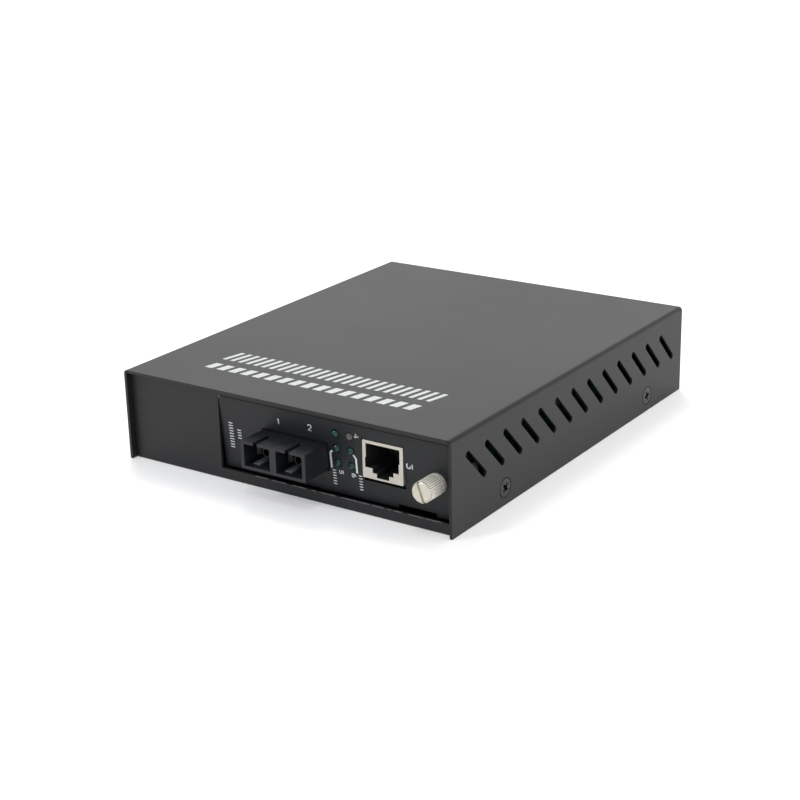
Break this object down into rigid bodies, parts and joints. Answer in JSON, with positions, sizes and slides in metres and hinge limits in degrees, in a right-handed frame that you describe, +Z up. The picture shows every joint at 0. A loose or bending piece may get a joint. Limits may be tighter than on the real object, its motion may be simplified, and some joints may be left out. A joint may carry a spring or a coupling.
{
  "type": "fibre media converter",
  "caption": "Flat folded-steel box with slotted walls and a slide-in converter card that carries duplex SC ports, an RJ45 jack, lamps and a knurled thumbscrew; mains inlet at the back.",
  "frame": {"origin": "centre of the case's footprint, on the surface that it rests on", "axes": "front faces -Y, +X to the right seen from the front, +Z up"},
  "size_m": [0.13, 0.1695, 0.032],
  "materials": {
    "case_black": "fine-textured black powder coat on folded steel",
    "plate_black": "satin black paint on folded steel",
    "screw_black": "black zinc on steel",
    "zinc_steel": "bright zinc on steel",
    "nickel": "nickel plate, knurled",
    "nickel_bright": "nickel-plated sheet",
    "port_plastic": "dark grey moulded plastic, slightly glossy",
    "black_plastic": "black moulded plastic",
    "white_nylon": "natural nylon",
    "gold_contact": "gold-plated spring wire",
    "plated_brass": "tin-plated brass",
    "fuse_glass": "clear glass tube",
    "lens_green": "tinted epoxy, unlit",
    "lens_clear": "water-clear epoxy, unlit",
    "board_green": "green solder mask on glass laminate",
    "board_tan": "bare paper laminate",
    "transceiver_black": "black moulded plastic",
    "chip_black": "moulded epoxy",
    "ferrite": "ground ferrite",
    "bobbin_black": "moulded phenolic",
    "winding_tape": "yellow polyester tape",
    "can_metal": "drawn nickel-plated can",
    "capacitor_sleeve": "dark shrink sleeve with an aluminium top",
    "heatsink_aluminium": "extruded aluminium",
    "mains_insulation": "coloured insulation",
    "low_insulation": "coloured insulation"
  },
  "bodies": {
    "case": {"top_cover": "case_black", "base_chassis": "case_black", "cover_screws": "screw_black", "latch_bracket": "case_black", "backplane_bracket": "zinc_steel", "supply_standoffs": "zinc_steel", "supply_screws": "zinc_steel", "backplane_screws": "zinc_steel", "inlet_screws": "screw_black", "inlet_nuts": "zinc_steel", "backplane_socket": "black_plastic", "mains_inlet": "black_plastic", "card_guide_left": "black_plastic", "card_guide_right": "black_plastic", "mains_header": "white_nylon", "low_voltage_header": "white_nylon", "inlet_blades": "plated_brass", "fuse_clips": "plated_brass", "fuse": "fuse_glass", "backplane_board": "board_green", "supply_board": "board_tan", "switch_transistor": "chip_black", "transformer_core": "ferrite", "transformer_base": "bobbin_black", "transformer_winding": "winding_tape", "bulk_capacitor": "capacitor_sleeve", "output_capacitors": "capacitor_sleeve", "supply_heatsink": "heatsink_aluminium", "mains_leads": "mains_insulation", "low_voltage_leads": "low_insulation"},
    "card": {"card_faceplate": "plate_black", "card_board": "board_green", "plate_screws": "zinc_steel", "sc_receptacle": "port_plastic", "sc_sleeves": "port_plastic", "sc_latches": "port_plastic", "transceiver_body": "transceiver_black", "jack_shell": "nickel_bright", "jack_insert": "black_plastic", "jack_contacts": "gold_contact", "lamp_holder": "black_plastic", "lamps_green": "lens_green", "lamp_clear": "lens_clear", "thumbscrew_collar": "nickel", "converter_chip": "chip_black", "line_chip": "chip_black", "line_magnetics": "chip_black", "regulator": "chip_black", "clock_crystal": "can_metal", "power_inductor": "ferrite", "card_capacitors": "capacitor_sleeve", "card_power_plug": "black_plastic", "card_power_pins": "gold_contact"},
    "thumbscrew": {"thumbscrew": "nickel"}
  },
  "joints": [
    {"name": "card_slide", "type": "slide", "parent": "case", "child": "card", "axis": [0, -1, 0], "range_m": [0, 0.13]},
    {"name": "thumbscrew_turn", "type": "hinge", "parent": "card", "child": "thumbscrew", "pos_m": [0.0576, -0.0768, 0.0159], "axis": [0, -1, 0], "continuous": true}
  ]
}
